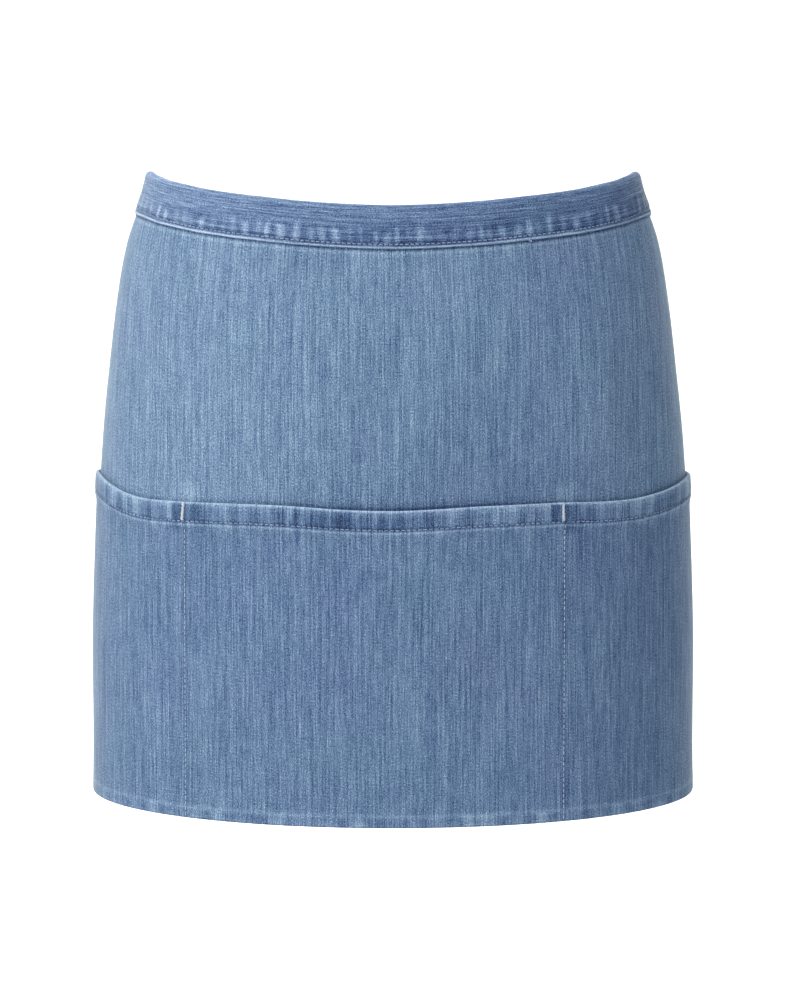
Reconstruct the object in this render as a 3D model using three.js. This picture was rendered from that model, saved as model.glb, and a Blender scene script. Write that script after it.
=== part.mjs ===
import * as THREE from "three";

// A waist apron of washed denim with three pockets, in the form it takes when it is tied round the hips.
// Millimetres. +X is to the right as seen from the front, +Y is the wearer's back and +Z is up.
// The origin is the middle of the waist opening, level with the waistband's top edge at the front.
// Left and right are as seen from the front.

// The cut, measured along the cloth
const apronWidth = 600;
const apronDrop = 328.5;
const sideHem = 10;
const bandHeight = 23;
const bandOverhang = 10;
const pocketHeight = 170.5;
const middlePocketWidth = 205.8;
const rimHeight = 11;
const turnedSideways = -11.9; // the apron's centre line round the body from the wearer's

// Cloth and sewing
const denim = 1.0;
const bandDenimThick = 1.2;
const sewnGap = 0.3;
const bandEase = 0.07; // the share of its width by which the panel is gathered at its top edge
const bandEaseDrop = 100;

// The body that the cloth lies on
const hipHalfWidth = 162.6;
const hipFrontDepth = 105.4;
const hipBackDepth = 112;

// How the worn cloth departs from level and from lying flat
const waistRise = 14;
const mouthRise = 8;
const middleGape = 1.6;
const sideGape = 0.4;

// Bar tacks
const tackLength = 9.4;
const tackWidth = 1.8;
const tackHeight = 0.7;

// Ties
const tieWidth = 20;
const tieThickness = 1.8;
const tieTuck = 1; // from the panel's side edge to the tie's end inside the waistband
const tailLength = 190;
const tailSpread = 26;
const tailNarrowing = 0.7;
const knotWidth = 28;
const knotDrop = 25;
const knotDepth = 13;
const knotBelowWaist = 30; // from the waistband's top edge at the front down to the knot's middle

// Half widths and depths of the body, as shares of the hips', at each level below the origin,
// which is a share of the apron's drop
const bodyRows = [
  { level: -0.068, side: 0.79, front: 0.752, back: 0.775 },
  { level: 0.0, side: 0.823, front: 0.806, back: 0.8 },
  { level: 0.082, side: 0.879, front: 0.864, back: 0.825 },
  { level: 0.177, side: 0.913, front: 0.92, back: 0.855 },
  { level: 0.287, side: 0.9405, front: 0.965, back: 0.895 },
  { level: 0.423, side: 0.9695, front: 0.99, back: 0.945 },
  { level: 0.587, side: 0.9875, front: 1.0, back: 0.985 },
  { level: 0.737, side: 0.9985, front: 1.0, back: 1.0 },
  { level: 0.906, side: 1.0, front: 0.991, back: 0.985 },
  { level: 1.0, side: 1.003, front: 0.987, back: 0.97 },
];

// How the waist rises over the hips and dips behind: round is a share of the front quarter of the
// waist, lift a share of waistRise
const waistRows = [
  { round: 0, lift: 0.01 },
  { round: 0.115, lift: 0.045 },
  { round: 0.25, lift: 0.115 },
  { round: 0.355, lift: 0.195 },
  { round: 0.43, lift: 0.265 },
  { round: 0.5, lift: 0.32 },
  { round: 0.555, lift: 0.37 },
  { round: 0.64, lift: 0.455 },
  { round: 0.74, lift: 0.585 },
  { round: 0.79, lift: 0.64 },
  { round: 0.83, lift: 0.69 },
  { round: 0.87, lift: 0.75 },
  { round: 0.92, lift: 0.805 },
  { round: 0.96, lift: 0.838 },
  { round: 0.995, lift: 0.86 },
  { round: 1.03, lift: 0.8 },
  { round: 1.09, lift: 0.59 },
  { round: 1.17, lift: 0.31 },
  { round: 1.3, lift: -0.12 },
  { round: 1.47, lift: -0.5 },
  { round: 1.63, lift: -0.8 },
  { round: 1.8, lift: -0.99 },
  { round: 2.1, lift: -1.1 },
  { round: 2.6, lift: -1.1 },
];

// How the pockets' mouth wanders: across is a share of half the apron's width, lift a share of mouthRise
const mouthRows = [
  { across: -1, lift: 0.45 },
  { across: -0.78, lift: 0.45 },
  { across: -0.72, lift: 0.56 },
  { across: -0.66, lift: 0.74 },
  { across: -0.62, lift: 0.86 },
  { across: -0.598, lift: 0.83 },
  { across: -0.578, lift: 0.71 },
  { across: -0.544, lift: 0.49 },
  { across: -0.505, lift: 0.24 },
  { across: -0.473, lift: 0.07 },
  { across: -0.442, lift: -0.03 },
  { across: -0.413, lift: -0.05 },
  { across: -0.345, lift: 0.02 },
  { across: -0.25, lift: 0.14 },
  { across: -0.15, lift: 0.18 },
  { across: -0.05, lift: 0.02 },
  { across: 0.04, lift: -0.04 },
  { across: 0.12, lift: 0.06 },
  { across: 0.19, lift: 0.17 },
  { across: 0.31, lift: 0.19 },
  { across: 0.345, lift: 0.17 },
  { across: 0.413, lift: 0.04 },
  { across: 0.45, lift: 0 },
  { across: 0.492, lift: -0.01 },
  { across: 0.537, lift: 0.09 },
  { across: 0.58, lift: 0.22 },
  { across: 0.619, lift: 0.38 },
  { across: 0.656, lift: 0.52 },
  { across: 0.686, lift: 0.64 },
  { across: 0.72, lift: 0.62 },
  { across: 0.78, lift: 0.5 },
  { across: 1, lift: 0.4 },
];

// How each tie's tail hangs from the knot: along is a share of tailLength, aside a share of tailSpread,
// out_left and out_right are the tails' distances from the body as shares of the knot's depth, twist is in degrees
const tailRows = [
  { along: 0.0, aside: 0.12, out_left: 0.26, out_right: 0.56, width: 0.0, twist: 0 },
  { along: 0.12, aside: 0.2, out_left: 0.24, out_right: 0.54, width: 1.0, twist: 0 },
  { along: 0.35, aside: 0.38, out_left: 0.2, out_right: 0.5, width: 1.0, twist: 3 },
  { along: 0.6, aside: 0.62, out_left: 0.2, out_right: 0.46, width: 1.0, twist: 8 },
  { along: 0.8, aside: 0.84, out_left: 0.3, out_right: 0.42, width: 1.0, twist: 12 },
  { along: 1.0, aside: 1.0, out_left: 0.38, out_right: 0.4, width: 1.0, twist: 14 },
];

// How finely the cloth is faceted
const stretchesPerPocket = 16;
const rowsAboveMouth = [0.12, 0.27, 0.46, 0.72]; // shares of the way from the waistband to the mouth
const rowsBelowRim = [0.12, 0.28, 0.46, 0.64, 0.82, 1]; // shares of the way from the rim to the hem
const foldSteps = 4;
const roundedEdge = 1.2;
const easeBelowRim = 12;

const { clamp, degToRad, smoothstep } = THREE.MathUtils;

// A smooth curve through one column of a table
function through(rows, key, at, column) {
  let i = 0;
  while (i < rows.length - 2 && at > rows[i + 1][key]) i++;
  const slope = (k) => {
    const before = rows[Math.max(k - 1, 0)];
    const after = rows[Math.min(k + 1, rows.length - 1)];
    return (after[column] - before[column]) / (after[key] - before[key]);
  };
  const span = rows[i + 1][key] - rows[i][key];
  const t = clamp((at - rows[i][key]) / span, 0, 1);
  const rise = rows[i + 1][column] - rows[i][column];
  const a = slope(i) * span - rise;
  const b = rise - slope(i + 1) * span;
  return rows[i][column] + t * rise + t * (1 - t) * ((1 - t) * a + t * b);
}

// The body's half width and its depths in front and behind at a height
function bodyAt(z) {
  const level = -z / apronDrop;
  return {
    side: hipHalfWidth * through(bodyRows, "level", level, "side"),
    front: hipFrontDepth * through(bodyRows, "level", level, "front"),
    back: hipBackDepth * through(bodyRows, "level", level, "back"),
  };
}

// Length along a quarter of the body's section between two angles from the front, by Simpson's rule
function arcLength(side, depth, from, to) {
  const pieces = 16;
  const step = (to - from) / pieces;
  const speed = (angle) => Math.hypot(side * Math.cos(angle), depth * Math.sin(angle));
  let sum = speed(from) + speed(to);
  for (let i = 1; i < pieces; i++) sum += speed(from + i * step) * (i % 2 ? 4 : 2);
  return (sum * step) / 3;
}

const quarterTurn = Math.PI / 2;

function frontQuarter(z) {
  const body = bodyAt(z);
  return arcLength(body.side, body.front, 0, quarterTurn);
}

function halfGirth(z) {
  const body = bodyAt(z);
  return frontQuarter(z) + arcLength(body.side, body.back, quarterTurn, Math.PI);
}

// The angle from the front at which a length round the body ends
function angleAt(round, z) {
  const body = bodyAt(z);
  const quarter = frontQuarter(z);
  const length = Math.abs(round);
  let angle = (length / quarter) * quarterTurn;
  for (let i = 0; i < 8; i++) {
    const inFront = angle <= quarterTurn;
    const depth = inFront ? body.front : body.back;
    const reached = inFront
      ? arcLength(body.side, depth, 0, angle)
      : quarter + arcLength(body.side, depth, quarterTurn, angle);
    angle -= (reached - length) / Math.hypot(body.side * Math.cos(angle), depth * Math.sin(angle));
  }
  return round < 0 ? -angle : angle;
}

// A point at an angle round the body and a height, and the outward direction there
function bodyPoint(angle, z) {
  const body = bodyAt(z);
  const above = bodyAt(z + 0.5);
  const below = bodyAt(z - 0.5);
  const depth = Math.abs(angle) <= quarterTurn ? "front" : "back";
  const [sin, cos] = [Math.sin(angle), Math.cos(angle)];
  const steep = {
    side: above.side - below.side,
    depth: above[depth] - below[depth],
  };
  const outward = new THREE.Vector3(
    body[depth] * sin,
    -body.side * cos,
    -(body.side * steep.depth * cos * cos + body[depth] * steep.side * sin * sin),
  ).normalize();
  return { at: new THREE.Vector3(body.side * sin, -body[depth] * cos, z), outward };
}

// A point of the cloth: a length round the body from the front, a height, and a distance off the body
function clothPoint(round, z, off) {
  const { at, outward } = bodyPoint(angleAt(round, z), z);
  return at.addScaledVector(outward, off);
}

const waistQuarter = frontQuarter(0);
const mouthDrop = apronDrop - pocketHeight;

// The body widens below the waist, so the waist's dip starts that much further round there
function startedLater(round, drop) {
  const widening = bodyAt(-drop).side / bodyAt(0).side - 1;
  return round - widening * THREE.MathUtils.smoothstep(round, 0.9, 1.04);
}

// How far a line that is level in the cut lies above its level on the body
function lift(across, drop) {
  const round = startedLater(Math.abs(across + turnedSideways) / waistQuarter, drop);
  const waist = waistRise * through(waistRows, "round", round, "lift");
  const mouth = mouthRise * through(mouthRows, "across", (2 * across) / apronWidth, "lift");
  if (drop > mouthDrop) return (mouth * (apronDrop - drop)) / pocketHeight;
  return waist + (mouth - waist) * (drop / mouthDrop) ** 2;
}

// The length round the body to a place in the cut
function roundBody(across, drop) {
  const gathered = bandEase * clamp(1 - drop / bandEaseDrop, 0, 1) ** 2;
  return across * (1 - gathered) + turnedSideways;
}

// A point of the apron, from its place in the cut and its distance off the body
function apronPoint(across, drop, off) {
  return clothPoint(roundBody(across, drop), lift(across, drop) - drop, off);
}

// How far a pocket's mouth stands off the panel: nothing at the seams, most between them
function gape(across, down) {
  const seam = middlePocketWidth / 2;
  const inMiddle = Math.abs(across) < seam;
  const share = inMiddle
    ? (across + seam) / middlePocketWidth
    : (Math.abs(across) - seam) / (apronWidth / 2 - seam);
  const most = inMiddle ? middleGape : sideGape;
  return most * Math.sin(Math.PI * clamp(share, 0, 1)) ** 2 * (1 - down) ** 1.5;
}

// A closed solid between two faces. pairs is a grid: each row holds { outer, inner } points
// Each four-sided facet is split along its shorter diagonal, so that layers of cloth bend alike.
function thickSheet(pairs) {
  const rows = pairs.length;
  const columns = pairs[0].length;
  const points = pairs.flat().flatMap((pair) => [pair.outer, pair.inner]);
  const outer = (row, column) => 2 * (row * columns + column);
  const inner = (row, column) => outer(row, column) + 1;
  const index = [];
  const quad = (a, b, c, d) => {
    const splitAcross = points[a].distanceTo(points[c]) > points[b].distanceTo(points[d]) * 1.001;
    index.push(...(splitAcross ? [a, b, d, b, c, d] : [a, b, c, a, c, d]));
  };
  for (let r = 0; r < rows - 1; r++) {
    for (let c = 0; c < columns - 1; c++) {
      quad(outer(r, c), outer(r + 1, c), outer(r + 1, c + 1), outer(r, c + 1));
      quad(inner(r, c), inner(r, c + 1), inner(r + 1, c + 1), inner(r + 1, c));
    }
    quad(outer(r, 0), inner(r, 0), inner(r + 1, 0), outer(r + 1, 0));
    const last = columns - 1;
    quad(outer(r, last), outer(r + 1, last), inner(r + 1, last), inner(r, last));
  }
  for (let c = 0; c < columns - 1; c++) {
    quad(outer(0, c), outer(0, c + 1), inner(0, c + 1), inner(0, c));
    const last = rows - 1;
    quad(outer(last, c), inner(last, c), inner(last, c + 1), outer(last, c + 1));
  }
  const geometry = new THREE.BufferGeometry().setFromPoints(points);
  geometry.setIndex(index);
  geometry.computeVertexNormals();
  return geometry;
}

// The cloth's stations from the left fold to the right one, with one on each pocket seam
const foldReach = denim + sewnGap / 2;
const seams = [
  foldReach - apronWidth / 2,
  -middlePocketWidth / 2,
  middlePocketWidth / 2,
  apronWidth / 2 - foldReach,
];
const stations = [seams[0]];
for (let pocket = 0; pocket < 3; pocket++) {
  for (let i = 1; i <= stretchesPerPocket; i++) {
    stations.push(THREE.MathUtils.lerp(seams[pocket], seams[pocket + 1], i / stretchesPerPocket));
  }
}

const hemMiddle = -sewnGap / 2;

// One row across a cloth whose side edges are folded to the inside, as pairs of [across, off].
// faces(across) gives the inner and outer face's distance off the body.
function rowWithSideHems(faces) {
  const middle = hemMiddle;
  const hem = (side) => {
    const edge = side * seams[3];
    const [near, far] = faces(edge);
    const fold = [];
    for (let i = 1; i <= foldSteps; i++) {
      const turn = (Math.PI * i) / foldSteps;
      const place = (off) => [
        edge + side * (off - middle) * Math.sin(turn),
        middle + (off - middle) * Math.cos(turn),
      ];
      fold.push({ outer: place(far), inner: place(near) });
    }
    const end = side * (apronWidth / 2 - sideHem);
    fold.push({ outer: [end, 2 * middle - far], inner: [end, 2 * middle - near] });
    return fold;
  };
  const flat = stations.map((across) => {
    const [near, far] = faces(across);
    return { outer: [across, far], inner: [across, near] };
  });
  return [...hem(-1).reverse(), ...flat, ...hem(1)];
}

function placed(row, drop) {
  const place = ([across, off]) => apronPoint(across, drop, off);
  return row.map(({ outer, inner }) => ({ outer: place(outer), inner: place(inner) }));
}

// Distances down the cut at which the cloth's faces have a row of points
const bandFold = bandDenimThick + denim + sewnGap - hemMiddle;
const bandDrops = [bandFold, bandHeight / 2, bandHeight];
const belowRim = mouthDrop + rimHeight + easeBelowRim;
const pocketDrops = [
  mouthDrop,
  mouthDrop + roundedEdge,
  mouthDrop + rimHeight,
  mouthDrop + rimHeight + easeBelowRim / 2,
  belowRim,
  ...rowsBelowRim.map((share) => belowRim + share * (apronDrop - belowRim)),
];

// The panel, from inside the waistband to the hem, its side edges folded in
function frontPanel() {
  const drops = [
    ...bandDrops,
    ...rowsAboveMouth.map((share) => bandHeight + share * (mouthDrop - bandHeight)),
    ...pocketDrops,
  ];
  const row = rowWithSideHems(() => [0, denim]);
  return thickSheet(drops.map((drop) => placed(row, drop)));
}

// The pockets' cloth: one strip over the panel, its mouth folded in to a rim of two layers
function pocketPanel() {
  const near = denim + sewnGap;
  const rim = mouthDrop + rimHeight;
  const layer = (drop, facing, pinch) => {
    const eased = denim * (1 - smoothstep(drop, rim, belowRim));
    const row = rowWithSideHems((across) => {
      const face = near + eased + gape(across, (drop - mouthDrop) / pocketHeight);
      return [face - facing + pinch, face + denim - pinch];
    });
    return placed(row, drop);
  };
  return thickSheet([
    layer(mouthDrop, denim, denim / 2),
    layer(mouthDrop + roundedEdge / 3, denim, denim / 8),
    ...pocketDrops.slice(1, 3).map((drop) => layer(drop, denim, 0)),
    layer(rim + roundedEdge / 3, 0, 0),
    ...pocketDrops.slice(3).map((drop) => layer(drop, 0, 0)),
  ]);
}

// The waistband, folded over the panel's top edge and open below, past the panel at both ends
function waistband() {
  const near = denim + sewnGap;
  const far = near + bandDenimThick;
  const leg = (drop) => ({ outer: [drop, far], inner: [drop, near] });
  const section = [leg(bandHeight), leg(bandHeight / 2)];
  for (let i = 0; i <= foldSteps; i++) {
    const turn = (Math.PI * i) / foldSteps;
    const place = (off) => [
      bandFold - (off - hemMiddle) * Math.sin(turn),
      hemMiddle + (off - hemMiddle) * Math.cos(turn),
    ];
    section.push({ outer: place(far), inner: place(near) });
  }
  for (const drop of [bandHeight / 2, bandHeight]) {
    section.push({
      outer: [drop, 2 * hemMiddle - far],
      inner: [drop, 2 * hemMiddle - near],
    });
  }
  const end = apronWidth / 2 + bandOverhang;
  const along = [-end, ...stations, end];
  return thickSheet(
    along.map((across) =>
      section.map(({ outer, inner }) => ({
        outer: apronPoint(across, ...outer),
        inner: apronPoint(across, ...inner),
      })),
    ),
  );
}

// A bar tack: a raised bar of thread on the pockets' rim, down one of the seams
function barTack(across) {
  const face = 2 * denim + sewnGap + denim + sewnGap;
  const ends = [0, 0.12, 0.88, 1];
  const widths = [0.6, 1, 1, 0.6];
  const top = mouthDrop + roundedEdge / 2;
  return thickSheet(
    ends.map((share, i) => {
      const drop = top + share * tackLength;
      return [-0.5, -0.3, 0.3, 0.5].map((aside, k) => {
        const at = across + aside * tackWidth * widths[i];
        const edge = k === 0 || k === 3 || i === 0 || i === 3;
        const crown = edge ? tackHeight / 2 : tackHeight;
        return {
          outer: apronPoint(at, drop, face + crown),
          inner: apronPoint(at, drop, face),
        };
      });
    }),
  );
}

// The knot's place: halfway between the waistband's ends
const tieDrop = bandFold + (bandHeight - bandFold) / 2;
const knotLevel = -knotBelowWaist;
const knotGirth = 2 * halfGirth(knotLevel);
const knotRound = knotGirth / 2 + turnedSideways;
const knotOff = knotDepth / 2 - denim;
const knotPlace = bodyPoint(angleAt(knotRound, knotLevel), knotLevel);

// One tie, from inside the waistband's end round to the knot
function tie(side) {
  const start = side * (apronWidth / 2 + tieTuck);
  const bandEnd = side * (apronWidth / 2 + bandOverhang);
  const endLevel = (drop) => lift(bandEnd, drop) - drop;
  const endAngle = (drop) => angleAt(roundBody(bandEnd, drop), endLevel(drop));
  const knot = side > 0 ? knotRound : knotRound - knotGirth;
  const knotAngle = angleAt(knot - side * (knotWidth / 2 + sewnGap), knotLevel);
  const inBand = (rise, off) => apronPoint(start, tieDrop - rise, off);
  const free = (out) => (rise, off) => {
    const { lerp } = THREE.MathUtils;
    const angle = lerp(endAngle(tieDrop - rise), knotAngle, out);
    const level = lerp(endLevel(tieDrop - rise), knotLevel + rise, out);
    const { at, outward } = bodyPoint(angle, level);
    return at.addScaledVector(outward, off);
  };
  const row = (place, out) => {
    const middle = THREE.MathUtils.lerp(hemMiddle, knotOff / 2, smoothstep(out, 0.1, 1));
    return [-0.5, 0.5].map((share) => ({
      outer: place(side * share * tieWidth, middle + tieThickness / 2),
      inner: place(side * share * tieWidth, middle - tieThickness / 2),
    }));
  };
  const grid = [row(inBand, 0)];
  const steps = 7;
  for (let i = 0; i <= steps; i++) grid.push(row(free(i / steps), i / steps));
  return thickSheet(grid);
}

// The knot: one plain rounded block where the ties cross
function knot() {
  const geometry = new THREE.SphereGeometry(1, 20, 14);
  const squareness = 0.55;
  const square = (value) => Math.sign(value) * Math.abs(value) ** squareness;
  const position = geometry.getAttribute("position");
  const up = new THREE.Vector3(0, 0, 1);
  const { at, outward } = knotPlace;
  const aside = up.clone().cross(outward).normalize();
  for (let i = 0; i < position.count; i++) {
    const [x, y, z] = [position.getX(i), position.getY(i), position.getZ(i)];
    const ring = Math.hypot(x, z);
    const [cos, sin] = ring > 1e-6 ? [x / ring, z / ring] : [0, 0];
    const point = at
      .clone()
      .addScaledVector(outward, knotOff + (square(ring) * square(sin) * knotDepth) / 2)
      .addScaledVector(aside, (square(ring) * square(cos) * knotWidth) / 2)
      .addScaledVector(up, (square(y) * knotDrop) / 2);
    position.setXYZ(i, point.x, point.y, point.z);
  }
  geometry.computeVertexNormals();
  return geometry;
}

// The free end of one tie, hanging from under the knot down the back
function tieTail(side) {
  const steps = 16;
  const outColumn = side < 0 ? "out_left" : "out_right";
  const top = knotLevel - knotDrop / 2 - sewnGap;
  const grid = [];
  for (let i = 0; i <= steps; i++) {
    const along = i / steps;
    const value = (column) => through(tailRows, "along", along, column);
    const z = top - along * tailLength;
    const x = knotPlace.at.x + side * value("aside") * tailSpread;
    const { at, outward } = bodyPoint(Math.PI - Math.asin(x / bodyAt(z).side), z);
    const middle = at.addScaledVector(outward, value(outColumn) * knotDepth);
    const lean = Math.atan2(tailSpread, tailLength) * side;
    const down = new THREE.Vector3(Math.sin(lean), 0, -Math.cos(lean));
    const facing = outward.clone().applyAxisAngle(down, degToRad(side * value("twist")));
    const aside = down.clone().cross(facing).normalize();
    const width = tieWidth * THREE.MathUtils.lerp(tailNarrowing, 1, clamp(value("width"), 0, 1));
    const row = [0.5, -0.5].map((share) => {
      const point = (off) =>
        middle.clone().addScaledVector(aside, share * width).addScaledVector(facing, off);
      return { outer: point(tieThickness / 2), inner: point(-tieThickness / 2) };
    });
    grid.push(row);
  }
  return thickSheet(grid);
}

const washedDenim = new THREE.MeshStandardMaterial({ color: 0x6e89aa, roughness: 0.92, metalness: 0 });
const bandDenim = new THREE.MeshStandardMaterial({ color: 0x667fa5, roughness: 0.92, metalness: 0 });
const whiteThread = new THREE.MeshStandardMaterial({ color: 0xdfe0dc, roughness: 0.8, metalness: 0 });

const apron = new THREE.Group();

function add(name, geometry, material) {
  const mesh = new THREE.Mesh(geometry, material);
  mesh.name = name;
  apron.add(mesh);
}

add("front_panel", frontPanel(), washedDenim);
add("pocket_panel", pocketPanel(), washedDenim);
add("waistband", waistband(), bandDenim);
add("bar_tack_left", barTack(-middlePocketWidth / 2), whiteThread);
add("bar_tack_right", barTack(middlePocketWidth / 2), whiteThread);
add("tie_left", tie(-1), bandDenim);
add("tie_right", tie(1), bandDenim);
add("tie_knot", knot(), bandDenim);
add("tie_tail_left", tieTail(-1), bandDenim);
add("tie_tail_right", tieTail(1), bandDenim);

export default apron;
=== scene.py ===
import math
from collections import namedtuple

import bpy
import numpy as np
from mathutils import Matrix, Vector


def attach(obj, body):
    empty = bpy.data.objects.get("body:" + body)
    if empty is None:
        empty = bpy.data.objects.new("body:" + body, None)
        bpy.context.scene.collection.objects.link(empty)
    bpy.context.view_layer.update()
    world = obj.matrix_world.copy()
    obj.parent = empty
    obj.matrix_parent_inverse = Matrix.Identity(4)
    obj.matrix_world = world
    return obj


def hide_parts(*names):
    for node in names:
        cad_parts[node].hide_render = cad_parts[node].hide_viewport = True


# A washed denim waist apron with three pockets, dressed round its CAD frame.
# Lengths are millimetres until a mesh is made. Left and right are as seen from the front.

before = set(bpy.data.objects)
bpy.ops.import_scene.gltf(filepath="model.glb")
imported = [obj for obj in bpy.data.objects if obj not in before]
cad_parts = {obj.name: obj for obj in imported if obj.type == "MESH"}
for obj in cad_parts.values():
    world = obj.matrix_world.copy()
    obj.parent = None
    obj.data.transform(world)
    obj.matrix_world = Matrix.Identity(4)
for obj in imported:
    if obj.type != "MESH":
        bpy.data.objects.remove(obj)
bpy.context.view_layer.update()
chance = np.random.default_rng(27)

# The cut, measured along the cloth
APRON_WIDTH = 600.0
APRON_DROP = 328.5
SIDE_HEM = 10.0
BAND_HEIGHT = 23.0
BAND_OVERHANG = 10.0
POCKET_HEIGHT = 170.5
MIDDLE_POCKET = 205.8
RIM_HEIGHT = 11.0
TURNED = -11.9
MOUTH_DROP = APRON_DROP - POCKET_HEIGHT
SEAM = MIDDLE_POCKET / 2

# Cloth and sewing
DENIM = 1.0
BAND_DENIM = 1.2
SEWN_GAP = 0.3
HEM_MIDDLE = -SEWN_GAP / 2
BAND_FOLD = BAND_DENIM + DENIM + SEWN_GAP - HEM_MIDDLE
BAND_EASE = 0.07
BAND_EASE_DROP = 100.0
STITCH_PITCH = 2.85
BAND_STITCH = BAND_HEIGHT - 2.3
RIM_STITCH = MOUTH_DROP + RIM_HEIGHT - 0.8
LOOSE_ACROSS = 88.2

# The body that the cloth lies on
HIP_HALF_WIDTH = 162.6
HIP_FRONT = 105.4
HIP_BACK = 112.0

# How the worn cloth departs from level and from lying flat
WAIST_RISE = 14.0
MOUTH_RISE = 8.0
MIDDLE_GAPE = 1.6
SIDE_GAPE = 0.4

# Ties
TIE_WIDTH = 20.0
TIE_THICK = 1.8
TIE_TUCK = 1.0
TAIL_LENGTH = 190.0
TAIL_SPREAD = 26.0
TAIL_NARROWING = 0.7
TIE_NARROWING = 0.78
KNOT_CLEAR = 0.05
KNOT_WIDTH = 28.0
KNOT_DROP = 25.0
KNOT_DEPTH = 13.0
KNOT_BELOW_WAIST = 30.0

# Half widths and depths of the body, as shares of the hips', by level as a share of the drop
BODY_LEVEL = [-0.068, 0.0, 0.082, 0.177, 0.287, 0.423, 0.587, 0.737, 0.906, 1.0]
BODY_SIDE = [0.79, 0.823, 0.879, 0.913, 0.9405, 0.9695, 0.9875, 0.9985, 1.0, 1.003]
BODY_FRONT = [0.752, 0.806, 0.864, 0.92, 0.965, 0.99, 1.0, 1.0, 0.991, 0.987]
BODY_BACK = [0.775, 0.8, 0.825, 0.855, 0.895, 0.945, 0.985, 1.0, 0.985, 0.97]

# How the waist rises over the hips and dips behind, by share of the front quarter of the waist
WAIST_ROUND = [
    0, 0.115, 0.25, 0.355, 0.43, 0.5, 0.555, 0.64, 0.74, 0.79, 0.83, 0.87, 0.92, 0.96, 0.995, 1.03,
    1.09, 1.17, 1.3, 1.47, 1.63, 1.8, 2.1, 2.6
]
WAIST_LIFT = [
    0.01, 0.045, 0.115, 0.195, 0.265, 0.32, 0.37, 0.455, 0.585, 0.64, 0.69, 0.75, 0.805, 0.838, 0.86,
    0.8, 0.59, 0.31, -0.12, -0.5, -0.8, -0.99, -1.1, -1.1
]

# How the pockets' mouth wanders, by share of half the apron's width
MOUTH_ACROSS = [
    -1, -0.78, -0.72, -0.66, -0.62, -0.598, -0.578, -0.544, -0.505, -0.473, -0.442, -0.413, -0.345,
    -0.25, -0.15, -0.05, 0.04, 0.12, 0.19, 0.31, 0.345, 0.413, 0.45, 0.492, 0.537, 0.58, 0.619, 0.656,
    0.686, 0.72, 0.78, 1
]
MOUTH_LIFT = [
    0.45, 0.45, 0.56, 0.74, 0.86, 0.83, 0.71, 0.49, 0.24, 0.07, -0.03, -0.05, 0.02, 0.14, 0.18, 0.02,
    -0.04, 0.06, 0.17, 0.19, 0.17, 0.04, 0, -0.01, 0.09, 0.22, 0.38, 0.52, 0.64, 0.62, 0.5, 0.4
]

# How each tie's tail hangs, by share of its length
TAIL_ALONG = [0.0, 0.12, 0.35, 0.6, 0.8, 1.0]
TAIL_ASIDE = [0.12, 0.2, 0.38, 0.62, 0.84, 1.0]
TAIL_OUT = {-1: [0.26, 0.24, 0.2, 0.2, 0.3, 0.38], 1: [0.56, 0.54, 0.5, 0.46, 0.42, 0.4]}
TAIL_TWIST = [0, 0, 3, 8, 12, 14]


def smooth_curve(places, values):
    """A smooth curve through a column of a table."""
    places, values = np.array(places, float), np.array(values, float)
    before = np.maximum(np.arange(len(places)) - 1, 0)
    after = np.minimum(np.arange(len(places)) + 1, len(places) - 1)
    slopes = (values[after] - values[before]) / (places[after] - places[before])

    def at(x):
        x = np.asarray(x, float)
        i = np.clip(np.searchsorted(places, x) - 1, 0, len(places) - 2)
        span = places[i + 1] - places[i]
        t = np.clip((x - places[i]) / span, 0, 1)
        rise = values[i + 1] - values[i]
        a = slopes[i] * span - rise
        b = rise - slopes[i + 1] * span
        return values[i] + t * rise + t * (1 - t) * ((1 - t) * a + t * b)

    return at


side_share = smooth_curve(BODY_LEVEL, BODY_SIDE)
front_share = smooth_curve(BODY_LEVEL, BODY_FRONT)
back_share = smooth_curve(BODY_LEVEL, BODY_BACK)
waist_share = smooth_curve(WAIST_ROUND, WAIST_LIFT)
mouth_share = smooth_curve(MOUTH_ACROSS, MOUTH_LIFT)


def body_at(z):
    """The body's half width and its depths in front and behind at a height."""
    level = -np.asarray(z, float) / APRON_DROP
    return (
        HIP_HALF_WIDTH * side_share(level),
        HIP_FRONT * front_share(level),
        HIP_BACK * back_share(level),
    )


# Angle round the body by height and by length round it, worked out once on a fine grid
GRID_STEP = 2.0
GRID_Z = np.arange(-APRON_DROP - 20, 31, GRID_STEP)
GRID_ROUND = np.arange(0, 501, 1.0)


def angle_grid():
    angles = np.linspace(0, 1.2 * math.pi, 1729)
    middles = (angles[1:] + angles[:-1]) / 2
    rows = []
    for z in GRID_Z:
        side, front, back = body_at(z)
        depth = np.where(middles < math.pi / 2, front, back)
        pieces = np.hypot(side * np.cos(middles), depth * np.sin(middles)) * angles[1]
        rows.append(np.interp(GRID_ROUND, np.concatenate([[0], np.cumsum(pieces)]), angles))
    return np.array(rows)


ANGLES = angle_grid()


def angle_at(length, z):
    """The angle from the front at which a length round the body ends."""
    length, z = np.broadcast_arrays(np.asarray(length, float), np.asarray(z, float))
    row = np.clip((z - GRID_Z[0]) / GRID_STEP, 0, len(GRID_Z) - 1.001)
    column = np.clip(np.abs(length), 0, len(GRID_ROUND) - 1.001)
    r, c = row.astype(int), column.astype(int)
    dr, dc = row - r, column - c
    lower = ANGLES[r, c] * (1 - dc) + ANGLES[r, c + 1] * dc
    upper = ANGLES[r + 1, c] * (1 - dc) + ANGLES[r + 1, c + 1] * dc
    return np.sign(length) * (lower * (1 - dr) + upper * dr)


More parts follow.
